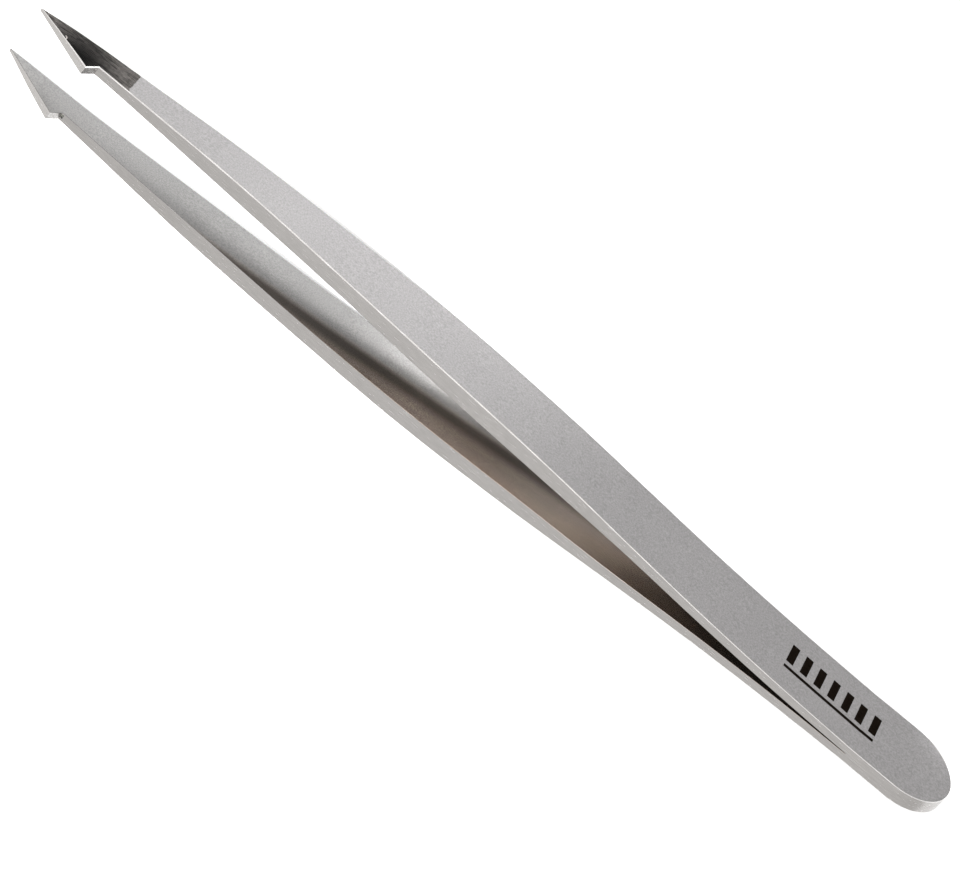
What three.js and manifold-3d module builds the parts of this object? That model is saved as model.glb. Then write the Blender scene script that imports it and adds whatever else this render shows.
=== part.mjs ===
// Slant-tip tweezers: two bowed spring-steel arms fused face to face at a rounded heel.
//
// Units are millimetres and +Z is up. The tweezers lie on the straight run of their lower edges:
// X runs from the heel to the tips, Y is the direction in which the arms open and close, and Z is
// the width of the arms. The origin is at the bottom centre of the whole object.
//
// Each arm is one leaf of steel that bends near the heel. It is held here as a tab that is fixed in
// the heel and a blade that turns about the middle of the bend, so that it can be moved by a hinge.

import * as THREE from 'three';
import { mergeVertices } from 'three/addons/utils/BufferGeometryUtils.js';
import Module from 'manifold-3d';

const wasm = await Module();
wasm.setup();

// Driving dimensions. Distances called X are measured from the end of the heel.

const LENGTH = 95; // end of the heel to the points
const HEEL_RADIUS = 4.5; // round end of the heel, and half the width of the arms there
const EDGE_TAPER = THREE.MathUtils.degToRad(0.75); // of each long edge, from the heel to the shoulder
const SHOULDER_X = 53.2; // where the long edges turn in towards the tips
const SHOULDER_BLEND = 5.5; // half the length of that turn
const NECK_X = 85.6; // narrowest place, where the ground tip begins
const NECK_HALF = 1.53; // half the width there
const TIP_LOW_X = 90; // lower edge of the tip, where it turns towards the point
const TIP_LOW_Z = -1.24;
const POINT_Z = -1.04; // height of the point, below the middle of the width
const CORNER_X = 89.3; // upper end of the slanted cut
const CORNER_Z = 2.6;
const NOTCH_X = 88.5; // foot of the step behind the slanted cut
const NOTCH_Z = 1.35;

const WELD_LENGTH = 9; // fused part of the heel
const WELD_HALF = 0.15; // half the thickness of the fused layer between the arms
const JOIN_GAP = 0.02; // between the fused layer and each arm
const FLEX_X = 20; // middle of the bend, where tab and blade part
const FLEX_GAP = 0.15; // between tab and blade

// The side of one arm, from the weld to the point: x, half the gap between the arms, thickness.
const ARM_STATIONS = [
  [WELD_LENGTH, 0.02, 0.66],
  [17, 0.19, 0.73],
  [25, 0.58, 0.76],
  [33, 1.07, 0.9],
  [41, 1.37, 1.26],
  [51, 1.75, 1.42],
  [62, 2.11, 1.34],
  [74, 2.21, 1.34],
  [NECK_X, 2.3, 0.87],
  [90.4, 2.23, 0.73],
  [LENGTH, 2.19, 0.27],
];
const SIDE_POINTS = 44; // steps along each face of an arm
const HEEL_POINTS = 24; // steps round the heel
const SHOULDER_POINTS = 8; // steps round each shoulder
const BEYOND = 20; // how far a cutting solid reaches past what it cuts

// Solids are joined and cut as manifolds, and shown as buffer geometries.

function toManifold(geometry) {
  const bare = geometry.clone();
  bare.deleteAttribute('normal');
  bare.deleteAttribute('uv');
  const merged = mergeVertices(bare, 1e-5);
  const vertProperties = Float32Array.from(merged.attributes.position.array);
  const triVerts = Uint32Array.from(merged.index.array);
  return new wasm.Manifold(new wasm.Mesh({ numProp: 3, vertProperties, triVerts }));
}

function toGeometry(manifold) {
  const mesh = manifold.getMesh();
  const geometry = new THREE.BufferGeometry();
  geometry.setAttribute('position', new THREE.BufferAttribute(mesh.vertProperties, 3));
  geometry.setIndex(new THREE.BufferAttribute(mesh.triVerts, 1));
  geometry.computeVertexNormals();
  return geometry;
}

/** A block from lowX to highX and lowY to highY, taller than the arms are wide. */
function block(lowX, highX, lowY, highY) {
  const geometry = new THREE.BoxGeometry(highX - lowX, highY - lowY, 2 * BEYOND);
  geometry.translate((lowX + highX) / 2, (lowY + highY) / 2, 0);
  return toManifold(geometry);
}

/** Half the width of an arm at x, on the straight edges between the heel and the shoulder. */
function edgeHalf(x) {
  return (HEEL_RADIUS - (x - HEEL_RADIUS) * Math.sin(EDGE_TAPER)) / Math.cos(EDGE_TAPER);
}

/** Half the width of an arm at x, on the straight edges between the shoulder and the neck. */
function bladeHalf(x) {
  const share = (x - SHOULDER_X) / (NECK_X - SHOULDER_X);
  return THREE.MathUtils.lerp(edgeHalf(SHOULDER_X), NECK_HALF, share);
}

/** The outline of an arm seen square to its face, in X and Z. */
function faceOutline() {
  const startX = SHOULDER_X - SHOULDER_BLEND;
  const endX = SHOULDER_X + SHOULDER_BLEND;
  const half = edgeHalf(SHOULDER_X);
  const top = Math.PI / 2 - EDGE_TAPER;
  const path = new THREE.Path();
  path.absarc(HEEL_RADIUS, 0, HEEL_RADIUS, top, 2 * Math.PI - top, false);
  const heel = path.getPoints(HEEL_POINTS);
  const lower = new THREE.QuadraticBezierCurve(
    new THREE.Vector2(startX, -edgeHalf(startX)),
    new THREE.Vector2(SHOULDER_X, -half),
    new THREE.Vector2(endX, -bladeHalf(endX)),
  ).getPoints(SHOULDER_POINTS);
  const upper = lower.map((p) => new THREE.Vector2(p.x, -p.y)).reverse();
  const tip = [
    [NECK_X, -NECK_HALF],
    [TIP_LOW_X, TIP_LOW_Z],
    [LENGTH, POINT_Z],
    [CORNER_X, CORNER_Z],
    [NOTCH_X, NOTCH_Z],
    [NECK_X, NECK_HALF],
  ].map(([x, z]) => new THREE.Vector2(x, z));
  return new THREE.Shape([...heel, ...lower, ...tip, ...upper]);
}

/** A slab with the face outline, standing in X and Z, that reaches past both arms in Y. */
function faceSlab() {
  const geometry = new THREE.ExtrudeGeometry(faceOutline(), { depth: 2 * BEYOND, bevelEnabled: false });
  geometry.rotateX(Math.PI / 2);
  geometry.translate(0, BEYOND, 0);
  return toManifold(geometry);
}

/** The bowed side of the arm that lies at +Y, in X and Y, drawn through Z. */
function sideSlab() {
  const inner = ARM_STATIONS.map(([x, gap]) => new THREE.Vector2(x, gap));
  const outer = ARM_STATIONS.map(([x, gap, thick]) => new THREE.Vector2(x, gap + thick));
  const innerLine = new THREE.SplineCurve(inner).getPoints(SIDE_POINTS);
  const outerLine = new THREE.SplineCurve(outer).getPoints(SIDE_POINTS).reverse();
  const [, firstGap, firstThick] = ARM_STATIONS[0];
  const heelEnd = [
    new THREE.Vector2(0, firstGap + firstThick),
    new THREE.Vector2(0, firstGap),
  ];
  const outline = new THREE.Shape([...innerLine, ...outerLine, ...heelEnd]);
  const geometry = new THREE.ExtrudeGeometry(outline, { depth: 2 * BEYOND, bevelEnabled: false });
  geometry.translate(0, 0, -BEYOND);
  return toManifold(geometry);
}

/** The tab and the blade of the arm that lies at +Y. */
function armPieces(face) {
  const arm = sideSlab().intersect(face);
  const weldRoom = block(-BEYOND, WELD_LENGTH + JOIN_GAP, -BEYOND, WELD_HALF + JOIN_GAP);
  const tabSide = block(-BEYOND, FLEX_X - FLEX_GAP / 2, -BEYOND, BEYOND);
  const bladeSide = block(FLEX_X + FLEX_GAP / 2, LENGTH + BEYOND, -BEYOND, BEYOND);
  return {
    heel: toGeometry(arm.intersect(tabSide).subtract(weldRoom)),
    blade: toGeometry(arm.intersect(bladeSide)),
  };
}

/** The fused layer between the two tabs, flush with the rim of the heel. */
function weldGeometry(face) {
  return toGeometry(face.intersect(block(-BEYOND, WELD_LENGTH, -WELD_HALF, WELD_HALF)));
}

/** The same solid on the other side of the mid-plane between the arms. */
function mirrored(geometry) {
  const copy = geometry.clone();
  copy.scale(1, -1, 1);
  const index = copy.index.array;
  for (let i = 0; i < index.length; i += 3) {
    [index[i], index[i + 1]] = [index[i + 1], index[i]];
  }
  copy.computeVertexNormals();
  return copy;
}

const satinSteel = new THREE.MeshStandardMaterial({ color: 0xaaaba9, roughness: 0.45, metalness: 1 });
const weldSteel = new THREE.MeshStandardMaterial({ color: 0x9c9b97, roughness: 0.5, metalness: 1 });

function namedMesh(name, geometry, material) {
  const mesh = new THREE.Mesh(geometry, material);
  mesh.name = name;
  return mesh;
}

/** The tweezers, turned so that their lower edges lie flat, with the origin at the bottom centre. */
function tweezers() {
  const face = faceSlab();
  const rear = armPieces(face);
  const lying = new THREE.Group();
  lying.rotation.y = EDGE_TAPER;
  lying.add(
    namedMesh('front_arm_heel', mirrored(rear.heel), satinSteel),
    namedMesh('front_arm_blade', mirrored(rear.blade), satinSteel),
    namedMesh('rear_arm_heel', rear.heel, satinSteel),
    namedMesh('rear_arm_blade', rear.blade, satinSteel),
    namedMesh('heel_weld', weldGeometry(face), weldSteel),
  );
  const whole = new THREE.Group();
  whole.add(lying);
  const box = new THREE.Box3().setFromObject(whole, true);
  const centre = box.getCenter(new THREE.Vector3());
  lying.position.set(-centre.x, -centre.y, -box.min.z);
  return whole;
}

export default tweezers();
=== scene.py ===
"""Slant tweezers in satin stainless steel, lying on the straight run of their lower edges.

The row frame is in metres: X runs from the heel to the tips, Y across the opening, Z up. An arm is
worked out in millimetres in its own frame, where x is the distance from the end of the heel, y the
distance from the mid-plane between the arms and z the height above the middle of the width.
to_row() turns that into the row frame.
"""

import math

import bmesh
import bpy
import numpy as np
from mathutils import Matrix, Vector, noise


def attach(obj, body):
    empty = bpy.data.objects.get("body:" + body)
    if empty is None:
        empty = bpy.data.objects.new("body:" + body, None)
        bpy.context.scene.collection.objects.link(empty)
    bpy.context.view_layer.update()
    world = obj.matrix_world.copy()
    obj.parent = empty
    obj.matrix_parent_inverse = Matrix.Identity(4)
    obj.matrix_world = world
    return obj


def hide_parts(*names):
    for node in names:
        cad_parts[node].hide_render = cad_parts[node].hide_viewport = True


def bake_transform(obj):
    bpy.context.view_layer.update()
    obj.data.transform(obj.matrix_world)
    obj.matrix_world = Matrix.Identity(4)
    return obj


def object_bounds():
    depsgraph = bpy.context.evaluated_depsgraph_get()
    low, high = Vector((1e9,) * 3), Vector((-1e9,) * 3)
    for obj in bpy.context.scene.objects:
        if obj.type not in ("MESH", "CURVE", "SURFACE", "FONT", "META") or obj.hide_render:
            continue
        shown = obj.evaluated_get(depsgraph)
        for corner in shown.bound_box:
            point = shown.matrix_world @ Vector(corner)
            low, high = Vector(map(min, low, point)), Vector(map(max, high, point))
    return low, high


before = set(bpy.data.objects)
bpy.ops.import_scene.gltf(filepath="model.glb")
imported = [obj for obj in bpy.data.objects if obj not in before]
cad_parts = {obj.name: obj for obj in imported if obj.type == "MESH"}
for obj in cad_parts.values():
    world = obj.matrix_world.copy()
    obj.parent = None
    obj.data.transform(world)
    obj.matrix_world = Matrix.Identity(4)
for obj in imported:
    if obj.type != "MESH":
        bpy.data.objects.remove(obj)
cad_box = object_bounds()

MM = 0.001

# Driving dimensions of the arms, in millimetres: those of the CAD model.
LENGTH = 95.0
HEEL_RADIUS = 4.5
EDGE_TAPER = math.radians(0.75)  # of each straight edge. An arm lies turned by as much.
SHOULDER_X = 53.2
SHOULDER_BLEND = 5.5  # the reach of its round, each way
NECK_X = 85.6
NECK_HALF = 1.53
TIP_LOW = (90.0, -1.24)
POINT = (LENGTH, -1.04)
CORNER = (89.3, 2.6)
NOTCH = (88.5, 1.35)
WELD_LENGTH = 9.0
WELD_HALF = 0.15
# From the weld to the point: x, half the gap between the arms, thickness of the arm.
ARM_STATIONS = [
    (WELD_LENGTH, 0.02, 0.66),
    (17.0, 0.19, 0.73),
    (25.0, 0.58, 0.76),
    (33.0, 1.07, 0.90),
    (41.0, 1.37, 1.26),
    (51.0, 1.75, 1.42),
    (62.0, 2.11, 1.34),
    (74.0, 2.21, 1.34),
    (NECK_X, 2.30, 0.87),
    (90.4, 2.23, 0.73),
    (LENGTH, 2.19, 0.27),
]

# Details that the CAD model leaves out, in millimetres.
SEAM = 0.002  # between the fused layer and each arm
INNER_BREAK = 0.02
OUTER_CHAMFER = 0.08
CHAMFER_SHARE = 0.3  # the most that a chamfer takes of the thickness
CHAMFER_FADE = ((15.0, 50.0, CORNER[0], LENGTH), (0.55, 1.0, 1.0, 0.35))  # x, share that is left
WAVER = 0.25  # how far the outer chamfer's width wavers, as a share of it
WAVER_PITCH = 0.45  # steps through the noise for each millimetre along the arm
WAVER_APART = 9.0  # steps through the noise from the mid-plane to each arm

# Mesh density.
HEEL_STEPS = 30
BODY_STEP = 0.5
TIP_STEP = 0.2
CLEARANCE = 0.6 * TIP_STEP  # between a station and the nearest one that marks a corner
FACE_COLUMNS = 8
SPLINE_STEPS = 24

# Mesh clean-up.
MITRE_LIMIT = 0.3
MERGE_DISTANCE = 1e-4
SHORTEST_EDGE = 1e-5
SHARP_ANGLE = math.radians(18)

# An arm's materials, and that of each strip of its section, round from the top of the outer face.
# The break along the inner face's top edge goes with that face.
OUTER, EDGE, INNER, CHAMFER = range(4)
OUTER_STRIPS = [CHAMFER] + [OUTER] * FACE_COLUMNS + [CHAMFER]
INNER_STRIPS = [CHAMFER] + [INNER] * (FACE_COLUMNS + 1)
STRIPS = [*OUTER_STRIPS, EDGE, *INNER_STRIPS, EDGE]


# --- frames ----------------------------------------------------------------------------------

HEEL_CENTRE_X = cad_box[0].x / MM + HEEL_RADIUS


def to_row(x, y, z):
    """A point in the arm's own frame, in millimetres, as a point in the row frame, in metres."""
    dx = x - HEEL_RADIUS
    turned_x = dx * math.cos(EDGE_TAPER) + z * math.sin(EDGE_TAPER)
    turned_z = z * math.cos(EDGE_TAPER) - dx * math.sin(EDGE_TAPER)
    return Vector((HEEL_CENTRE_X + turned_x, y, HEEL_RADIUS + turned_z)) * MM


def new_object(name, data):
    """An object in the scene. data is its mesh, light or camera."""
    item = bpy.data.objects.new(name, data)
    bpy.context.scene.collection.objects.link(item)
    return item


# --- the outline of an arm, seen square to its face -------------------------------------------


def straight_half(x):
    """Half the width on the straight edges between the heel and the shoulder."""
    return (HEEL_RADIUS - (x - HEEL_RADIUS) * math.sin(EDGE_TAPER)) / math.cos(EDGE_TAPER)


def blade_half(x):
    """Half the width on the straight edges between the shoulder and the neck."""
    share = (x - SHOULDER_X) / (NECK_X - SHOULDER_X)
    return straight_half(SHOULDER_X) * (1 - share) + NECK_HALF * share


def edge_half(x):
    """Half the width anywhere from the end of the heel to the neck."""
    start, end = SHOULDER_X - SHOULDER_BLEND, SHOULDER_X + SHOULDER_BLEND
    if x < HEEL_RADIUS * (1 + math.sin(EDGE_TAPER)):
        return math.sqrt(max(0.0, HEEL_RADIUS**2 - (x - HEEL_RADIUS) ** 2))
    if x < start:
        return straight_half(x)
    if x > end:
        return blade_half(x)
    t = (x - start) / (end - start)
    low, middle, high = straight_half(start), straight_half(SHOULDER_X), blade_half(end)
    return low * (1 - t) ** 2 + 2 * middle * t * (1 - t) + high * t**2


def top_edge(x):
    """The height of the top edge anywhere on the arm."""
    if x <= NECK_X:
        return edge_half(x)
    return float(np.interp(x, *zip((NECK_X, NECK_HALF), NOTCH, CORNER, POINT)))


def bottom_edge(x):
    """The height of the bottom edge anywhere on the arm."""
    if x <= NECK_X:
        return -edge_half(x)
    return float(np.interp(x, *zip((NECK_X, -NECK_HALF), TIP_LOW, POINT)))


# --- the side of an arm -----------------------------------------------------------------------


def spline(points):
    """Points along the Catmull-Rom curve through the given ones, its end points doubled."""
    p = np.array([points[0], *points, points[-1]], float)
    line = []
    for k in range(1, len(p) - 2):
        v0, v1 = (p[k + 1] - p[k - 1]) / 2, (p[k + 2] - p[k]) / 2
        for t in np.linspace(0, 1, SPLINE_STEPS, endpoint=False):
            cubic = 2 * p[k] - 2 * p[k + 1] + v0 + v1
            square = -3 * p[k] + 3 * p[k + 1] - 2 * v0 - v1
            line.append(cubic * t**3 + square * t**2 + v0 * t + p[k])
    return np.array([*line, p[-1]])


INNER_LINE = spline([(x, gap) for x, gap, _ in ARM_STATIONS])
OUTER_LINE = spline([(x, gap + thick) for x, gap, thick in ARM_STATIONS])


def inner_y(x):
    """The inner face. Beside the weld it lies on the fused layer."""
    if x <= WELD_LENGTH:
        return WELD_HALF + SEAM
    return float(np.interp(x, INNER_LINE[:, 0], INNER_LINE[:, 1]))


def outer_y(x):
    """The outer face."""
    return float(np.interp(x, OUTER_LINE[:, 0], OUTER_LINE[:, 1]))


def outer_chamfer(x, side):
    """The outer chamfer's width. It is dressed by hand, so it wavers a little along the arm."""
    waver = 1 + WAVER * noise.noise(Vector((x * WAVER_PITCH, side * WAVER_APART, 0.0)))
    fade = float(np.interp(x, *CHAMFER_FADE))
    return min(OUTER_CHAMFER * waver * fade, CHAMFER_SHARE * (outer_y(x) - inner_y(x)))


def inner_break(x):
    """The width of the break along the inner face's edges. The fused layer leaves none."""
    if x <= WELD_LENGTH:
        return 0.0
    return min(INNER_BREAK, CHAMFER_SHARE * (outer_y(x) - inner_y(x)))


# --- the sections of an arm -------------------------------------------------------------------


def station_xs():
    """Where the arm's sections are, close together round the heel and at the tip."""
    turn = np.linspace(0, math.pi / 2, HEEL_STEPS)
    heel = HEEL_RADIUS * (1 - np.cos(turn))
    body = np.arange(HEEL_RADIUS + BODY_STEP, NECK_X - BODY_STEP / 2, BODY_STEP)
    tip = np.arange(NECK_X + TIP_STEP, LENGTH - TIP_STEP / 2, TIP_STEP)
    weld_end = [WELD_LENGTH, WELD_LENGTH + 2 * SEAM]
    marks = [*weld_end, NECK_X, NOTCH[0], CORNER[0], TIP_LOW[0], LENGTH]
    loose = [x for x in (*body, *tip) if min(abs(x - m) for m in marks) > CLEARANCE]
    return sorted([*heel, *loose, *marks])


def inset(outline, amounts):
    """A closed outline, clockwise in x and z, with each point moved in square to its edges."""
    p = np.array(outline)
    along = np.roll(p, -1, axis=0) - p
    along /= np.maximum(np.linalg.norm(along, axis=1), SHORTEST_EDGE)[:, None]
    after = np.stack([along[:, 1], -along[:, 0]], axis=1)
    before = np.roll(after, 1, axis=0)
    mitre = (before + after) / np.maximum(1 + (before * after).sum(1), MITRE_LIMIT)[:, None]
    return p + mitre * np.array(amounts)[:, None]


def across(start, end, height):
    """Points x, y, z from one end of a face, given as x and z, to the other. height gives y."""
    points = []
    for column in range(FACE_COLUMNS + 1):
        share = column / FACE_COLUMNS
        x, z = (1 - share) * start + share * end
        points.append((x, height(x), z))
    return points


def section(x, outer_ends, inner_ends, side):
    """The points x, y, z of an arm's section, in the order of STRIPS."""
    top, bottom = top_edge(x), bottom_edge(x)
    low = inner_y(x) + inner_break(x)
    high = outer_y(x) - outer_chamfer(x, side)
    outer = [(x, high, top), *across(*outer_ends, outer_y), (x, high, bottom)]
    inner = [(x, low, bottom), *across(*inner_ends, inner_y), (x, low, top)]
    return [*outer, *inner]


def arm_sections(side):
    """The sections of an arm, from the heel to the point.

    The outline runs out along the top edge and back along the bottom one, and the two share their
    ends. So at station i the bottom edge has the outline's point -i.
    """
    xs = station_xs()
    outline = [(x, top_edge(x)) for x in xs] + [(x, bottom_edge(x)) for x in xs[-2:0:-1]]
    outer = inset(outline, [outer_chamfer(x, side) for x, _ in outline])
    inner = inset(outline, [inner_break(x) for x, _ in outline])
    sections = []
    for i, x in enumerate(xs):
        sections.append(section(x, (outer[i], outer[-i]), (inner[-i], inner[i]), side))
    return sections


# --- meshes -----------------------------------------------------------------------------------


def skin(bm, rings, strips):
    """Faces from each ring of vertices to the next. strips has the material of each face."""
    for near, far in zip(rings, rings[1:]):
        for k, material in enumerate(strips):
            after = (k + 1) % len(strips)
            face = bm.faces.new((near[k], near[after], far[after], far[k]))
            face.material_index = material


def new_piece(name, bm, materials):
    """An object from a bmesh whose vertices hold points in the arm's own frame, in millimetres."""
    bmesh.ops.remove_doubles(bm, verts=bm.verts, dist=MERGE_DISTANCE)
    bmesh.ops.dissolve_degenerate(bm, edges=bm.edges, dist=SHORTEST_EDGE)
    bmesh.ops.recalc_face_normals(bm, faces=bm.faces)
    rest = bm.verts.layers.float_vector.new("rest_mm")
    for vertex in bm.verts:
        vertex[rest] = vertex.co
        vertex.co = to_row(*vertex.co)
    mesh = bpy.data.meshes.new(name)
    bm.to_mesh(mesh)
    bm.free()
    for material in materials:
        mesh.materials.append(material)
    mesh.shade_smooth()
    mesh.set_sharp_from_angle(angle=SHARP_ANGLE)
    return new_object(name, mesh)


def arm(name, side, materials):
    """One arm as a single bowed leaf. side is -1 for the front arm and 1 for the rear arm."""
    bm = bmesh.new()
    rings = []
    for points in arm_sections(side):
        rings.append([bm.verts.new((x, side * y, z)) for x, y, z in points])
    skin(bm, rings, STRIPS)
    return new_piece(name, bm, materials)


def weld(name, material):
    """The fused layer between the arms, flush with the rim of the heel."""
    bm = bmesh.new()
    corners = [(WELD_HALF, 1), (-WELD_HALF, 1), (-WELD_HALF, -1), (WELD_HALF, -1)]
    rings = []
    for x in station_xs():
        if x <= WELD_LENGTH:
            rings.append([bm.verts.new((x, y, up * edge_half(x))) for y, up in corners])
    skin(bm, rings, [0] * len(corners))
    bm.faces.new(rings[-1])
    return new_piece(name, bm, [material])


# --- node trees -------------------------------------------------------------------------------

NOISE_MIDDLE = 0.5
UNEVENNESS = (0.97, 1.03)  # the least and the most of a slow change in brightness


class Tree:
    """A node tree, with short calls for the nodes that are used here."""

    def __init__(self, tree):
        self.tree = tree

    def feed(self, socket, value):
        if isinstance(value, bpy.types.NodeSocket):
            self.tree.links.new(value, socket)
        else:
            socket.default_value = value

    def make(self, kind, inputs=None, **settings):
        node = self.tree.nodes.new(kind)
        for key, value in settings.items():
            setattr(node, key, value)
        for key, value in (inputs or {}).items():
            self.feed(node.inputs[key], value)
        return node

    def split(self, vector):
        parts = self.make("ShaderNodeSeparateXYZ", {"Vector": vector})
        return [parts.outputs[axis] for axis in "XYZ"]

    def math(self, operation, *values):
        node = self.make("ShaderNodeMath", operation=operation)
        for socket, value in zip(node.inputs, values):
            self.feed(socket, value)
        return node.outputs[0]

    def product(self, first, *others):
        for value in others:
            first = self.math("MULTIPLY", first, value)
        return first

    def spread(self, value, low, high, start=0.25, end=0.75, kind="LINEAR"):
        """From low to high as the value goes from start to end, which by default suits a noise."""
        inputs = {"Value": value, "From Min": start, "From Max": end, "To Min": low, "To Max": high}
        return self.make("ShaderNodeMapRange", inputs, interpolation_type=kind).outputs["Result"]

    def between(self, value, low, high):
        """1 where the value is between low and high, or else 0."""
        over = self.math("GREATER_THAN", value, low)
        return self.product(over, self.math("LESS_THAN", value, high))

    def mix(self, factor, first, second, kind="RGBA", name="Color"):
        node = self.make("ShaderNodeMix", data_type=kind)
        sockets = {s.identifier: s for s in (*node.inputs, *node.outputs)}
        self.feed(sockets["Factor_Float"], factor)
        self.feed(sockets["A_" + name], first)
        self.feed(sockets["B_" + name], second)
        return sockets["Result_" + name]

    def mix_value(self, factor, first, second):
        return self.mix(factor, first, second, kind="FLOAT", name="Float")

    def tint(self, value, colour):
        """A grey value turned into a colour of that brightness."""
        return self.mix(value, (0, 0, 0, 1), colour)


class Steel(Tree):
    """A new metal, laid out in the arm's own frame in millimetres."""

    def __init__(self, name):
        self.material = bpy.data.materials.new(name)
        self.material.use_nodes = True
        super().__init__(self.material.node_tree)
        self.shader = self.tree.nodes["Principled BSDF"]
        self.shader.inputs["Metallic"].default_value = 1.0
        place = self.make("ShaderNodeAttribute", attribute_name="rest_mm")
        self.place = place.outputs["Vector"]
        self.x, self.y, self.z = self.split(self.place)

    def is_rear(self):
        """1 on the rear arm, 0 on the front arm."""
        return self.math("GREATER_THAN", self.y, 0.0)

    def noise(self, scale, detail=2.0, stretch=(1.0, 1.0, 1.0)):
        """Noise with features of 1 / scale millimetres, longer where stretch is under 1."""
        moved = self.make("ShaderNodeMapping", {"Vector": self.place, "Scale": stretch})
        inputs = {"Vector": moved.outputs[0], "Scale": scale, "Detail": detail}
        return self.make("ShaderNodeTexNoise", inputs).outputs["Fac"]

    def unevenness(self, scale):
        """A factor that changes slowly over the steel."""
        return self.spread(self.noise(scale), *UNEVENNESS)

    def disc(self, x, z, radius):
        """1 less than a radius away from a point of the face, or else 0."""
        return self.ring(x, z, 0.0, radius)

    def ring(self, x, z, radius, half_width):
        """1 on a thin ring round a point of the face, or else 0."""
        dx = self.math("SUBTRACT", self.x, x)
        dz = self.math("SUBTRACT", self.z, z)
        reach = self.math("SQRT", self.math("MULTIPLY_ADD", dx, dx, self.product(dz, dz)))
        return self.between(reach, radius - half_width, radius + half_width)

    def finish(self, colour, roughness, bump, bump_mm):
        """The material, once its shader has its colour, roughness and bump."""
        self.feed(self.shader.inputs["Base Color"], colour)
        self.feed(self.shader.inputs["Roughness"], roughness)
        inputs = {"Height": bump, "Distance": bump_mm * MM, "Strength": 1.0}
        node = self.make("ShaderNodeBump", inputs)
        self.feed(self.shader.inputs["Normal"], node.outputs["Normal"])
        return self.material


# --- materials --------------------------------------------------------------------------------

# Tints of the finishes.
POLISHED_TINT = (1.0, 0.99, 0.98, 1)
NEUTRAL_TINT = (1.0, 0.985, 0.97, 1)
SATIN_TINT = (1.0, 0.976, 0.98, 1)
EDGE_TINT = (1.0, 0.975, 0.955, 1)
BURR_TINT = (1.0, 1.0, 0.92, 1)
# The ground tip's tint colours its painted reflection.
GROUND_TINT = (1.0, 0.93, 0.88, 1)
# The next two are painted reflection: the warm brown of the inner faces where they mirror each
# other.
PAINTED_REFLECTION_TINT = (1.0, 0.895, 0.81, 1)
PAINTED_DEEP_REFLECTION_TINT = (1.0, 0.835, 0.72, 1)
ETCHED_TINT = (1.0, 0.7, 0.5, 1)

# Brightness and roughness of the finishes, each from one side of its grain to the other.
SATIN_GREY = (0.225, 0.345)
SATIN_ROUGH = (0.48, 0.56)
GROUND_ROUGH = (0.2, 0.36)
ETCHED_GREY = (0.002, 0.008)
EDGE_GREY = (0.55, 0.60)
EDGE_ROUGH = (0.24, 0.28)
# The step's darker grey is painted shade.
STEP_SHADED_GREY = (0.22, 0.5)
BURR_GREY = (0.05, 0.6)
FUSED_GREY = (0.54, 0.60)
POLISHED_GREY = (0.8, 0.92)
POLISHED_ROUGH = (0.16, 0.26)
INNER_ROUGH = (0.20, 0.26)
BLASTED_NOISE = (0.3, 0.7)  # the noise at the two ends of a blasted grain

# The etched mark, in millimetres in the arm's own frame.
MARK_X = (7.6, 17.0)
MARK_BARS = 7
MARK_BARS_Z = (-1.9, 0.7)
MARK_LINE_Z = (1.2, 1.6)

# The ground tip: its brightness is painted reflection, darkest at one place and growing both ways
# from it, up to a limit.
DARKEST_X = 90.2
GROUND_GROWTH = 0.0047  # for each square millimetre along the arm
GROUND_BY_HEIGHT = (0.037, 0.002, -1.2, 1.4)  # added at two heights, and those heights
GROUND_MOST = 0.082
GROUND_LINES = (0.3, 1.7)
GROUND_MOTTLE = (0.6, 1.4)
GROUND_WANDER = (-0.08, 0.08)  # of the edge of the ground part, in millimetres
GROUND_SPECULAR = (0.6, 0.6, 0.6, 1)
# A painted glint: a bright ring on the ground tip, where a small nick catches the light.
NICK_GLINT = (92.2, 0.7)
NICK_GLINT_RADIUS = 0.26
NICK_GLINT_HALF_WIDTH = 0.05
NICK_GLINT_END_X = 92.15
NICK_GLINT_GREY = 0.4

# The rear arm's notch: a dark burr at its root, and its step, mottled and darkened with painted
# shade.
BURR = (88.43, 1.42)
BURR_RADIUS = 0.15
BURR_Y = (2.42, 2.78)
BURR_NOISE = (0.35, 0.65)
STEP_X = (88.6, 89.31)

# The inner faces. A ramp has two values, and the two places between which one turns into the other.
# The level of brightness is painted shade and painted reflection: the product of ramps along x,
# darker towards the crotch between the arms. The ramps of the painted dark band on the rear arm,
# a painted reflection of shade, go by the slant, which is x shifted in proportion to the height.
INNER_GRAIN = (0.8, 1.2)
INNER_GRAIN_SHARE = (0.15, 1.0, 32.0, 52.0)
PAINTED_INNER_LEVELS = [
    (0.6, 1.0, 18.0, 32.0),
    (0.66, 0.52, 37.0, 45.0),
    (1.0, 0.577, 53.0, 61.0),
    (1.0, 0.78, 60.0, 78.0),
]
SLANT = -8.8
PAINTED_BAND_TIP_SIDE = (0.30, 1.0, 47.6, 55.6)
PAINTED_BAND_HEEL_SIDE = (0.30, 1.40, 44.4, 28.5)
# Painted reflection: where the warm tint deepens, and where it gives way to neutral.
PAINTED_DEEP_REFLECTION_BY_X = (0.0, 1.0, 40.0, 47.0)
NEUTRAL_BY_SLANT = (0.0, 1.0, 48.0, 57.0)


def etched_mark(steel):
    """A plain mark near the heel of the front arm: bars over a line. 1 inside it, or else 0."""
    start, end = MARK_X
    pitch = (end - start) / (MARK_BARS - 0.5)
    along = steel.math("MODULO", steel.math("SUBTRACT", steel.x, start), pitch)
    is_bar = steel.math("LESS_THAN", along, pitch / 2)
    bars = steel.product(is_bar, steel.between(steel.z, *MARK_BARS_Z))
    line = steel.between(steel.z, *MARK_LINE_Z)
    is_front = steel.math("SUBTRACT", 1.0, steel.is_rear())
    here = steel.product(is_front, steel.between(steel.x, start, end))
    return steel.product(here, steel.math("MAXIMUM", bars, line))


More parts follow.
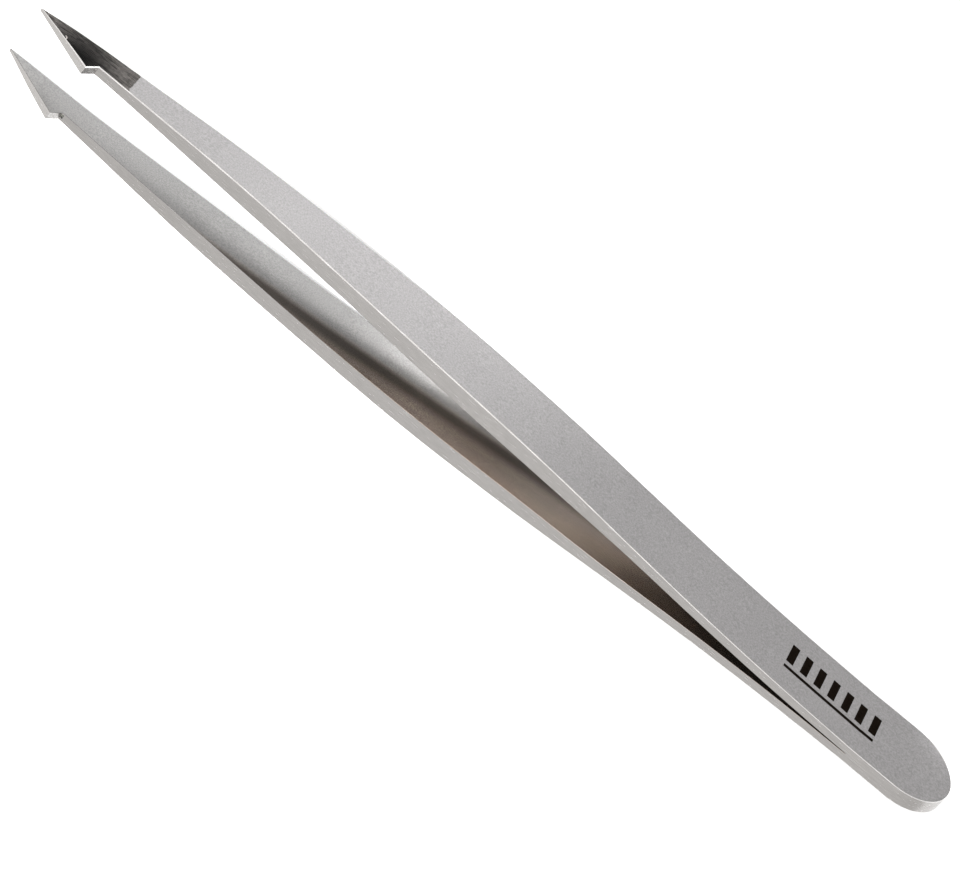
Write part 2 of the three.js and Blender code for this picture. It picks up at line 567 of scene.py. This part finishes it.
def ground_lines_with_painted_reflection(steel, brush):
    """The brightness of the ground tip: painted reflection, with its brushed lines and a painted
    glint at its nick.
    """
    from_darkest = steel.math("POWER", steel.math("SUBTRACT", steel.x, DARKEST_X), 2.0)
    by_height = steel.spread(steel.z, *GROUND_BY_HEIGHT)
    grey = steel.math("MULTIPLY_ADD", from_darkest, GROUND_GROWTH, by_height)
    grey = steel.math("MINIMUM", grey, GROUND_MOST)
    lines = steel.spread(brush, *GROUND_LINES)
    mottle = steel.spread(steel.noise(scale=3.2, detail=3), *GROUND_MOTTLE)
    # A painted glint: the bright ring of the nick, in base colour.
    nick_glint = steel.ring(*NICK_GLINT, NICK_GLINT_RADIUS, NICK_GLINT_HALF_WIDTH)
    nick_glint = steel.product(nick_glint, steel.math("LESS_THAN", steel.x, NICK_GLINT_END_X))
    return steel.mix_value(nick_glint, steel.product(grey, lines, mottle), NICK_GLINT_GREY)


def outer_steel():
    """Bead-blasted face, with the ground tip, whose dark graded colour is painted reflection, and
    the etched mark.
    """
    steel = Steel("satin_outer_steel")
    grain = steel.noise(scale=6.5, detail=3)
    brush = steel.noise(scale=5.0, detail=4, stretch=(0.15, 1.0, 1.1))
    wander = steel.spread(steel.noise(scale=2.5), *GROUND_WANDER)
    is_ground = steel.math("GREATER_THAN", steel.math("ADD", steel.x, wander), NECK_X)
    is_etched = etched_mark(steel)
    satin_grey = steel.spread(grain, *SATIN_GREY, *BLASTED_NOISE)
    satin = steel.tint(steel.product(satin_grey, steel.unevenness(0.12)), SATIN_TINT)
    # Painted reflection: the ground tip's dark, graded colour, under its brushed lines.
    ground = steel.tint(ground_lines_with_painted_reflection(steel, brush), GROUND_TINT)
    etched = steel.tint(steel.spread(grain, *ETCHED_GREY), ETCHED_TINT)
    colour = steel.mix(is_etched, steel.mix(is_ground, satin, ground), etched)
    steel.feed(steel.shader.inputs["Metallic"], steel.math("SUBTRACT", 1.0, is_etched))
    steel.feed(steel.shader.inputs["Specular IOR Level"], 0.0)
    specular = steel.mix(is_ground, (1, 1, 1, 1), GROUND_SPECULAR)
    steel.feed(steel.shader.inputs["Specular Tint"], specular)
    satin_rough = steel.spread(grain, *SATIN_ROUGH)
    rough = steel.mix_value(is_ground, satin_rough, steel.spread(brush, *GROUND_ROUGH))
    height = steel.mix_value(is_ground, grain, brush)
    return steel.finish(colour, rough, bump=height, bump_mm=0.006)


def edge_steel():
    """The long edges, ground lengthwise and lightly blasted."""
    steel = Steel("satin_edge_steel")
    lines = steel.noise(scale=4.0, detail=3, stretch=(0.3, 2.0, 1.0))
    grey = steel.product(steel.spread(lines, *EDGE_GREY), steel.unevenness(0.25))
    is_burr = steel.product(steel.disc(*BURR, BURR_RADIUS), steel.between(steel.y, *BURR_Y))
    burr = steel.tint(steel.spread(steel.noise(scale=5.0), *BURR_GREY, *BURR_NOISE), BURR_TINT)
    is_step = steel.product(steel.between(steel.x, *STEP_X), steel.is_rear())
    # Painted shade: the rear arm's step is darker than the edges, with a mottled grain.
    shaded_step = steel.tint(steel.spread(steel.noise(scale=6.0), *STEP_SHADED_GREY), EDGE_TINT)
    colour = steel.mix(is_step, steel.mix(is_burr, steel.tint(grey, EDGE_TINT), burr), shaded_step)
    return steel.finish(colour, steel.spread(lines, *EDGE_ROUGH), bump=lines, bump_mm=0.0008)


def inner_steel():
    """The inner faces, blasted more finely, with painted shade and reflection, and a painted dark
    band slanting along the rear one.
    """
    steel = Steel("satin_inner_steel")
    share = steel.spread(steel.x, *INNER_GRAIN_SHARE)
    grain = steel.mix_value(share, NOISE_MIDDLE, steel.noise(scale=7.5, detail=3))
    grey = steel.product(steel.spread(grain, *INNER_GRAIN, *BLASTED_NOISE), steel.unevenness(0.2))
    # Painted shade and reflection: the brightness steps along the faces and darkens towards the
    # crotch.
    painted_level = steel.product(*[steel.spread(steel.x, *ramp) for ramp in PAINTED_INNER_LEVELS])
    slant = steel.math("ADD", steel.x, steel.product(steel.z, SLANT))
    tip_side = steel.spread(slant, *PAINTED_BAND_TIP_SIDE, kind="SMOOTHSTEP")
    heel_side = steel.spread(slant, *PAINTED_BAND_HEEL_SIDE, kind="SMOOTHSTEP")
    # A painted reflection of shade: the dark slanting band, on the rear arm only.
    painted_band = steel.mix_value(steel.is_rear(), 1.0, steel.math("MAXIMUM", tip_side, heel_side))
    # Painted reflection: a warm brown where the inner faces mirror each other, neutral towards the
    # tips.
    painted_warmth = steel.mix(steel.spread(steel.x, *PAINTED_DEEP_REFLECTION_BY_X), PAINTED_REFLECTION_TINT, PAINTED_DEEP_REFLECTION_TINT)
    tint = steel.mix(steel.spread(slant, *NEUTRAL_BY_SLANT), painted_warmth, NEUTRAL_TINT)
    colour = steel.tint(steel.product(grey, painted_level, painted_band), tint)
    return steel.finish(colour, steel.spread(grain, *INNER_ROUGH), bump=grain, bump_mm=0.004)


def chamfer_steel():
    """The narrow dressed chamfers, nearly polished."""
    steel = Steel("dressed_chamfer_steel")
    lines = steel.noise(scale=3.0, stretch=(0.3, 1.0, 1.0))
    colour = steel.tint(steel.spread(lines, *POLISHED_GREY), POLISHED_TINT)
    return steel.finish(colour, steel.spread(lines, *POLISHED_ROUGH), bump=lines, bump_mm=0.002)


def weld_steel():
    """The fused layer, ground flush with the rim."""
    steel = Steel("fused_steel")
    lines = steel.noise(scale=4.0, detail=3, stretch=(0.1, 2.0, 2.0))
    colour = steel.tint(steel.spread(lines, *FUSED_GREY), EDGE_TINT)
    return steel.finish(colour, steel.spread(lines, *EDGE_ROUGH), bump=lines, bump_mm=0.0015)


# --- camera -----------------------------------------------------------------------------------

# The camera of the photograph, fitted to the outlines of both arms.
VIEW_TARGET = Vector((-0.000384, 0.0, 0.006705))
VIEW_DISTANCE = 0.4288
VIEW_AZIMUTH = math.radians(8.525)
VIEW_ELEVATION = math.radians(58.292)
VIEW_ROLL = math.radians(-148.086)
VIEW_LENS = 204.43


def camera():
    """The photograph's view."""
    data = bpy.data.cameras.new("camera")
    data.lens = VIEW_LENS
    data.sensor_width = 36.0
    data.clip_start = 0.01
    data.clip_end = 20.0
    across_floor = math.cos(VIEW_ELEVATION)
    x, y = math.sin(VIEW_AZIMUTH) * across_floor, -math.cos(VIEW_AZIMUTH) * across_floor
    back = Vector((x, y, math.sin(VIEW_ELEVATION)))
    upright = back.to_track_quat("Z", "Y").to_matrix().to_4x4()
    roll = Matrix.Rotation(VIEW_ROLL, 4, "Z")
    rig = new_object("camera", data)
    rig.matrix_world = Matrix.Translation(VIEW_TARGET + back * VIEW_DISTANCE) @ upright @ roll
    bpy.context.scene.camera = rig


# --- studio -----------------------------------------------------------------------------------

FLOOR_HALF = 4.0
FLOOR_DROP = 0.00002  # keeps it clear of the lowest edges
FLOOR_GREY = (0.4, 0.4, 0.4, 1)
SKY_COLOUR = (1.0, 0.985, 0.965, 1)

# Glow of the floor, weak and strong, and where it turns from one into the other: under the gap
# between the arms, outside them, and in a patch at the end of the heel. The glow is painted light,
# strong where it washes out the tweezers' shadows.
FLOOR_GLOW = (0.07, 0.76)
GAP_GLOW_X = (0.010, 0.034)
GAP_HALF = 0.0021
OUTSIDE_GLOW_X = (-0.012, 0.023)
HEEL_GLOW_X = (-0.0425, -0.0455)
HEEL_GLOW_REACH = (-0.09, 0.0)
HEEL_GLOW_HALF = 0.0016

# Glow of the sky on the camera's side and behind, and the directions between which it changes.
SKY_GLOW = (0.85, 0.66)
SKY_GLOW_Y = (-0.6, 0.5)

# The softboxes aim at the middle of the tweezers. Name, place, size, power in watts.
MIDDLE = (0.0, 0.0, 0.005)
SOFTBOXES = [
    ("key_softbox", (-0.14, -0.185, 0.68), (0.08, 0.08), 8.7),
    ("side_softbox", (0.59, 0.42, 0.34), (0.5, 0.5), 0.25),
    ("front_softbox", (0.05, -0.85, 0.16), (1.2, 0.3), 2.2),
]
# The lamps: name, place, target, width of the cone in degrees, radius, power in watts.
LAMPS = [
    ("tip_lamp", (0.02, -0.185, 0.69), (0.012, 0.0, 0.0), 9.0, 0.03, 12.0),
    ("body_lamp", (0.0105, -0.185, 0.69), (0.0105, -0.003, 0.0), 3.6, 0.01, 15.0),
]


def floor_glow(tree):
    """Painted light: strong under and beside the tips and at the end of the heel, where it washes
    out the tweezers' shadows, weak elsewhere.
    """
    x, y, _ = tree.split(tree.make("ShaderNodeTexCoord").outputs["Object"])
    gap = tree.spread(x, *FLOOR_GLOW, *GAP_GLOW_X)
    is_outside = tree.math("GREATER_THAN", tree.math("ABSOLUTE", y), GAP_HALF)
    outside = tree.product(tree.spread(x, *FLOOR_GLOW, *OUTSIDE_GLOW_X), is_outside)
    is_heel = tree.between(y, -HEEL_GLOW_HALF, HEEL_GLOW_HALF)
    is_heel = tree.product(is_heel, tree.between(x, *HEEL_GLOW_REACH))
    heel = tree.product(tree.spread(x, *FLOOR_GLOW, *HEEL_GLOW_X), is_heel)
    return tree.math("MAXIMUM", tree.math("MAXIMUM", gap, outside), heel)


def floor():
    """A pale matt sheet that glows with painted light, which washes out the tweezers' shadows."""
    mesh = bpy.data.meshes.new("floor")
    signs = ((-1, -1), (1, -1), (1, 1), (-1, 1))
    corners = [(x * FLOOR_HALF, y * FLOOR_HALF, 0) for x, y in signs]
    mesh.from_pydata(corners, [], [(0, 1, 2, 3)])
    piece = new_object("floor", mesh)
    piece.location.z = -FLOOR_DROP
    material = bpy.data.materials.new("pale_floor")
    material.use_nodes = True
    shader = material.node_tree.nodes["Principled BSDF"]
    shader.inputs["Base Color"].default_value = FLOOR_GREY
    shader.inputs["Roughness"].default_value = 0.9
    shader.inputs["Emission Color"].default_value = (1, 1, 1, 1)
    tree = Tree(material.node_tree)
    tree.feed(shader.inputs["Emission Strength"], floor_glow(tree))
    mesh.materials.append(material)


def sky():
    """An even tent of light, a little brighter on the camera's side."""
    world = bpy.data.worlds.new("studio")
    world.use_nodes = True
    tree = Tree(world.node_tree)
    background = world.node_tree.nodes["Background"]
    background.inputs["Color"].default_value = SKY_COLOUR
    y = tree.split(tree.make("ShaderNodeTexCoord").outputs["Generated"])[1]
    tree.feed(background.inputs["Strength"], tree.spread(y, *SKY_GLOW, *SKY_GLOW_Y))
    bpy.context.scene.world = world


def hang(name, data, place, target):
    """A light at a place, aimed at a target."""
    light = new_object(name, data)
    light.location = place
    aim = Vector(place) - Vector(target)
    light.rotation_euler = aim.to_track_quat("Z", "Y").to_euler()


def studio():
    """The sky, three softboxes, and two lamps for the brightest stretch of the arms."""
    bpy.context.scene.view_settings.view_transform = "Standard"
    sky()
    for name, place, size, power in SOFTBOXES:
        data = bpy.data.lights.new(name, "AREA")
        data.shape = "RECTANGLE"
        data.size, data.size_y = size
        data.energy = power
        hang(name, data, place, MIDDLE)
    for name, place, target, cone, radius, power in LAMPS:
        data = bpy.data.lights.new(name, "SPOT")
        data.spot_size = math.radians(cone)
        data.spot_blend = 1.0
        data.shadow_soft_size = radius
        data.energy = power
        hang(name, data, place, target)


# --- putting it together ----------------------------------------------------------------------


def tweezers():
    steels = [outer_steel(), edge_steel(), inner_steel(), chamfer_steel()]
    for name, side in (("front_arm", -1), ("rear_arm", 1)):
        leaf = arm(name + "_leaf", side, steels)
        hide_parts(name + "_heel", name + "_blade")
        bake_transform(leaf)
    fused = weld("heel_weld_layer", weld_steel())
    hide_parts("heel_weld")
    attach(fused, "heel")


tweezers()
floor()
studio()
camera()
